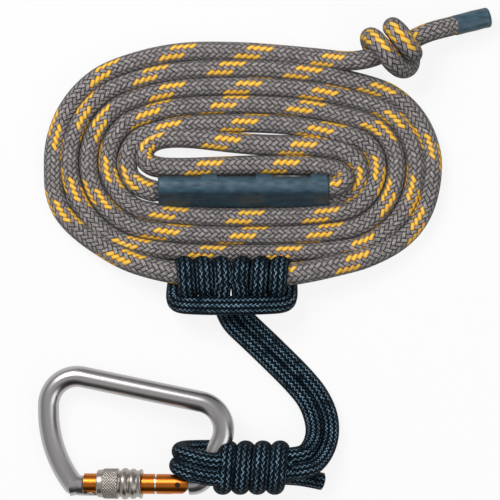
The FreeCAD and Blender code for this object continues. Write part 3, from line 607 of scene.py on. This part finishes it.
def sleeve_ring(x, radius, waist):
    """Belt-shaped ring round the two sewn strands; waist pulls its flat sides in."""
    low, high = Vector((x, sewn_y, sewn_low)), Vector((x, sewn_high_y, sewn_high))
    lean = (high - low).normalized()
    out = X.cross(lean)
    reach = (high - low).length / 2
    middle = (low + high) / 2
    points = []
    for angle in around(48):
        c, s = math.cos(angle), math.sin(angle)
        end = reach * (1 if s > 0 else -1) * min(1.0, abs(s) * 4.0)
        points.append((middle + lean * (end + radius * s) + out * (radius - waist * (1 - abs(s)) ** 2) * c) * MM)
    return points


sleeve_start, sleeve_end, sleeve_steps = 12.4, 109.0, 65
sleeve_rings = [sleeve_ring(sleeve_start + 3.0, 5.2, 0.4), sleeve_ring(sleeve_start + 0.3, 5.4, 0.4)]
for n in range(sleeve_steps + 1):
    t = n / sleeve_steps
    x = sleeve_start + (sleeve_end - sleeve_start) * t
    from_end = min(t, 1 - t) * (sleeve_end - sleeve_start)
    rounding = 0.25 * math.exp(-(from_end / 0.9) ** 2)
    wave = 0.06 * math.sin(x * 0.83) + 0.05 * math.sin(x * 0.31 + 1.3)
    sleeve_rings.append(sleeve_ring(x, 6.0 + wave - rounding, 0.35 + 0.1 * math.sin(x * 0.19)))
sleeve_rings += [sleeve_ring(sleeve_end - 0.3, 5.4, 0.4), sleeve_ring(sleeve_end - 3.0, 5.2, 0.4)]
fit(loft("eye_shrink_sleeve", sleeve_rings, shrink_plastic), "tether", "heat_shrink", "eye_sleeve")

tip_start, tip_end = Vector((179.8, 231.0, 9.4)), Vector((199.9, 236.1, 6.9))
tip_length = (tip_end - tip_start).length
tip_way = (tip_end - tip_start).normalized()
tip_side = tip_way.cross(Z).normalized()
tip_up = tip_side.cross(tip_way)
tip_rings = []
for along, size in ((2.5, 5.2), (0.2, 5.3), (0.0, 5.6), (0.5, 5.75), (6.0, 5.7), (12.0, 5.85), (17.0, 5.7),
                    (tip_length - 1.6, 5.8), (tip_length - 0.4, 5.6), (tip_length + 0.2, 4.9),
                    (tip_length + 0.1, 3.6), (tip_length - 0.5, 2.2)):
    ring = []
    for angle in around(32):
        r = size * (1 + 0.012 * math.sin(3 * angle + along))
        ring.append((tip_start + tip_way * along + (tip_side * math.cos(angle) + tip_up * math.sin(angle)) * r) * MM)
    tip_rings.append(ring)
fit(loft("tip_shrink_sleeve", tip_rings, shrink_plastic), "tether", "heat_shrink", "tip_sleeve")


# Hitch: six turns round the rope, the bridge below them and the two legs

cord_width = 9.9
hitch_middle = Vector((53.5, 88.3, 15.0))


def turns_along_x(first, last, first_top, pitch, lean, middle, radius):
    """Turns round an X axis from first to last degrees, from the top at first_top.

    lean bunches a turn's travel on one side, so that it crosses the rest square. pitch is negative
    for turns that travel left.
    """
    line = []
    for degrees in range(first, last, 10):
        angle = math.radians(degrees)
        along = first_top + pitch / FULL_TURN * (angle - lean * math.sin(angle))
        line.append(mm(along, middle.y + radius * math.sin(angle), middle.z + radius * math.cos(angle)))
    return line


def hitch_turns(name, first_top, pitch, start):
    """Three turns round the rope from the leg outwards, then into the bridge; ends of the turns in mm."""
    line = turns_along_x(-20, 901, first_top, pitch, 0.75, hitch_middle, 8.2)
    piece = tube(name, line, 4.9 * MM, cord_sheath, start=start, form=flattened(hitch_middle, X, 1.08, 0.86))
    fit(piece, "hitch", "cord", name)
    return line[0] / MM, line[-1] / MM


left_top, left_end = hitch_turns("hitch_turns_left", 49.3, -10.4, -0.001)
right_top, right_end = hitch_turns("hitch_turns_right", 58.5, 10.8, 0.001)

bridge_route = [
    left_end + Y * 5, left_end, (21.8, 77.4, 10.0), (23.4, 73.4, 13.4), (33.0, 72.8, 17.6), (45.5, 72.6, 20.8),
    (61.5, 72.8, 20.8), (74.0, 73.0, 17.6), (84.0, 73.6, 13.4), (86.2, 77.4, 10.0), right_end, right_end + Y * 5,
]
free_cord("hitch_bridge_cord", bridge_route, 10.9 * MM, cord_sheath, "hitch", ("hitch_bridge",), "taut", "limp",
          sides=20)

knot_y, knot_z = -18.9, 15.8
leg_left_route = [
    left_top, (48.2, 80.8, 21.6), (48.4, 76.4, 15.0), (49.0, 71.6, 8.4), (50.4, 66.6, 5.4), (54.0, 60.6, 4.9),
    (61.4, 53.8, 4.9), (70.2, 45.4, 4.9), (79.3, 36.5, 4.9), (88.4, 27.4, 4.9), (96.6, 17.6, 4.9), (100.6, 6.4, 4.9),
    (100.8, -1.6, 6.2), (98.2, -8.0, 11.0), (93.2, knot_y + 6.8, knot_z + 1.5), (84.0, knot_y + 6.5, knot_z + 1.5),
]
leg_right_route = [
    right_top, (58.9, 80.8, 21.6), (58.9, 76.4, 15.0), (58.8, 71.6, 8.4), (60.6, 66.8, 5.4), (66.4, 61.0, 4.9),
    (76.2, 51.8, 4.9), (85.4, 42.8, 4.9), (94.8, 33.4, 4.9), (103.8, 22.8, 4.9), (109.6, 10.6, 4.9),
    (110.4, -1.2, 4.9), (107.2, -11.2, 7.6), (101.0, -18.4, 12.8), (94.0, knot_y - 1.6, knot_z + 3.0),
    (84.0, knot_y - 2.2, knot_z + 3.0),
]
free_cord("leg_left_cord", leg_left_route, cord_width * MM, cord_sheath, "hitch", ("leg_left",), "loose", "limp",
          sides=20)
free_cord("leg_right_cord", leg_right_route, cord_width * MM, cord_sheath, "hitch", ("leg_right",), "loose", "limp",
          sides=20, start=0.0011)


# Barrel knot: the free tail, the turns, what they wind round and the noose round the frame's bar

tail_route = [(44.0, knot_y - 5.0, 11.0), (66.0, knot_y - 5.0, 10.6), (80.0, knot_y - 5.2, 10.4), (89.0, -24.4, 9.8),
              (97.0, -25.6, 7.4), (105.4, -27.6, 5.6)]
free_cord("knot_tail_cord", tail_route, cord_width * MM, cord_sheath, "hitch", ("cord_tail",), "loose", "limp", "bare",
          sides=20)

knot_middle = Vector((0, knot_y, knot_z))
barrel_line = turns_along_x(-100, 1181, 50.4, 9.75, 0.55, knot_middle, 10.8)
barrel = tube("barrel_knot_turns", barrel_line, 4.8 * MM, cord_sheath, form=flattened(knot_middle, X, 1.1, 0.96))
fit(barrel, "hitch", "cord", "barrel_turns")
core_line = [mm(x, knot_y, knot_z) for x in (45.0, 48.0, 52.0, 57.0, 63.0, 69.0, 75.0, 80.0, 84.0, 87.5)]
core = tube("barrel_knot_core", core_line, 8.2 * MM, cord_sheath, sides=26)
fit(core, "hitch", "cord", "knot_core")


def noose_route(over, under, left):
    """Over the bar and sideways, round to the left and back under."""
    return [(52.0, over, 20.0), (47.6, over, 24.6), (40.6, over + 0.4, 27.4), (left + 8.6, over + 2.4, 26.8),
            (left + 2.0, under - 1.8, 23.0), (left, under - 0.4, 16.0), (left + 2.4, under, 8.6), (31.5, under, 5.2),
            (42.0, under + 0.2, 5.0), (51.0, under, 5.0)]


free_cord("noose_lower_cord", noose_route(-23.8, -17.0, 23.0), cord_width * MM, cord_sheath, "hitch",
          ("noose_lower",), "taut", "limp", sides=20, start=0.0015)
free_cord("noose_upper_cord", noose_route(-14.9, -9.0, 24.4), cord_width * MM, cord_sheath, "hitch",
          ("noose_upper",), "taut", "limp", sides=20)


# Lock sleeve and nose lip, on the connector's tilted plane

tilt = math.radians(6.15)
gate_middle = Vector((0, -28.4, 11.52))
gate_way = Vector((math.cos(tilt), 0, math.sin(tilt)))
gate_up = Vector((-math.sin(tilt), 0, math.cos(tilt)))


def on_gate(along, angle, radius):
    """Point round the gate's axis; along counts in mm from the connector's middle."""
    middle = gate_middle + gate_way * along
    return (middle + (Y * math.cos(angle) + gate_up * math.sin(angle)) * radius) * MM


# The frame's nose runs on as a thin lip that hugs the gate's tip, so that the sleeve's mouth can pass over it
lip_half_thickness = 0.55
lip_rings = []
for along, reach, half_width in ((-37.6, 4.2, 6.4), (-33.8, 6.3, 5.0), (-28.6, 6.5, 4.0), (-25.2, 6.5, 3.2),
                                 (-22.0, 6.4, 1.6)):
    lip_rings.append([on_gate(along, math.pi + half_width / reach * math.sin(turn),
                              reach + lip_half_thickness * math.cos(turn)) for turn in around(20)])
lip = loft("nose_lip", lip_rings, forged_aluminium)
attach(lip, "hitch")

# Outline of the sleeve as (along, radius): mouth, collar, diamond grip, two rounded rings and a flare
sleeve_profile = [
    (-10.0, 5.9), (-10.0, 7.25), (-22.1, 7.25), (-21.9, 7.5), (-21.6, 7.75), (-19.0, 8.0), (-18.6, 8.25),
    (-10.2, 8.3), (-9.8, 7.5), (-8.9, 7.3), (-8.4, 7.9), (-7.4, 8.7), (-6.3, 8.9), (-5.2, 8.7), (-4.3, 7.9),
    (-3.9, 7.5), (-3.4, 7.8), (-2.6, 8.4), (-1.6, 8.6), (-0.6, 8.3), (0.2, 7.6), (0.8, 7.4), (1.8, 7.8),
    (2.9, 8.4), (3.3, 8.2), (3.3, 5.9),
]
sleeve_step = 0.24
grip_start, grip_end, grip_least_radius = -18.4, -10.4, 7.9
grip_sides, grip_teeth, grip_pitch = 192, 32, 1.62
grip_depth, grip_sink = 0.75, 0.3


def grip_height(x, angle, radius):
    """Height of the diamond grip in mm: pyramids where two sets of cuts cross."""
    if radius <= grip_least_radius or not grip_start < x < grip_end:
        return 0.0
    turn = angle * grip_teeth / FULL_TURN
    left, right = (turn + x / grip_pitch) % 1, (turn - x / grip_pitch) % 1
    return grip_depth * min(min(left, 1 - left), min(right, 1 - right)) * 2 - grip_sink


sleeve_rows = []
for (xa, ra), (xb, rb) in zip(sleeve_profile, sleeve_profile[1:]):
    steps = max(1, round(abs(xb - xa) / sleeve_step))
    sleeve_rows += [(xa + (xb - xa) * n / steps, ra + (rb - ra) * n / steps) for n in range(steps)]
sleeve_rows.append(sleeve_profile[-1])
turned_rings = [[on_gate(x, angle, r + grip_height(x, angle, r)) for angle in around(grip_sides)]
                for x, r in sleeve_rows]
fit(loft("screw_sleeve", turned_rings, turned_aluminium, hollow=True), "sleeve", "sleeve_metal", "lock_sleeve")


# The CAD shapes that stay, with their finishes

for node, finish in {"connector_frame": forged_aluminium, "hinge_pin": pin_steel, "gate": anodised_orange,
                     "stop_ring": bare_ring, "gate_plunger": spring_steel, "gate_spring": spring_steel,
                     "friction_ring": shrink_plastic, "eye_stitching": shrink_plastic}.items():
    holder = frame["nodes"][node]
    for owned in [holder] + list(holder.children_recursive):
        for place in getattr(owned, "material_slots", []):
            place.material = finish


# Floor and light

floor_mesh = bpy.data.meshes.new("floor")
floor_build = bmesh.new()
floor_corners = [(-1.2, -1.2), (1.4, -1.2), (1.4, 1.4), (-1.2, 1.4)]
floor_build.faces.new([floor_build.verts.new((x, y, -0.0002)) for x, y in floor_corners])
floor_build.to_mesh(floor_mesh)
floor_build.free()
link_mesh("floor", floor_mesh, stage_white())

# The room is pale towards the picture's upper left and dark towards its lower right, with a bright band between.
# It gives the frame's bar a pale outer slope, a bright ridge and a dark inner side.
world = bpy.data.worlds.new("soft_room")
bpy.context.scene.world = world
world.use_nodes = True
sky = world.node_tree
sky.nodes.clear()
along_room = add(sky, "ShaderNodeVectorMath", {0: add(sky, "ShaderNodeTexCoord").outputs["Generated"],
                                               1: (0.5, -0.85, 0.0)}, operation="DOT_PRODUCT")
glow = ramp(sky, maths(sky, "MULTIPLY_ADD", along_room.outputs["Value"], 0.5, 0.5),
            ((0.0, "#a2a1a1"), (0.3, "#bbbaba"), (0.5, "#cdcccc"), (0.57, "#ffffff"), (0.63, "#ffffff"),
             (0.68, "#484544"), (0.86, "#1e1c1b")))
room = add(sky, "ShaderNodeBackground", {"Color": glow, "Strength": 0.75})
add(sky, "ShaderNodeOutputWorld", {0: room.outputs[0]})


def softbox(name, place, size, power):
    """Square area light aimed at the middle of the tether."""
    data = bpy.data.lights.new(name, "AREA")
    data.shape = "SQUARE"
    data.size = size
    data.energy = power
    lamp = bpy.data.objects.new(name, data)
    lamp.location = place
    lamp.rotation_euler = (picture_middle - Vector(place)).to_track_quat("-Z", "Y").to_euler()
    bpy.context.scene.collection.objects.link(lamp)


softbox("key_light", (-0.55, 0.85, 1.1), 0.7, 14.0)
softbox("fill_light", (0.9, -0.5, 1.0), 0.9, 6.0)

bpy.context.scene.view_settings.view_transform = "Standard"
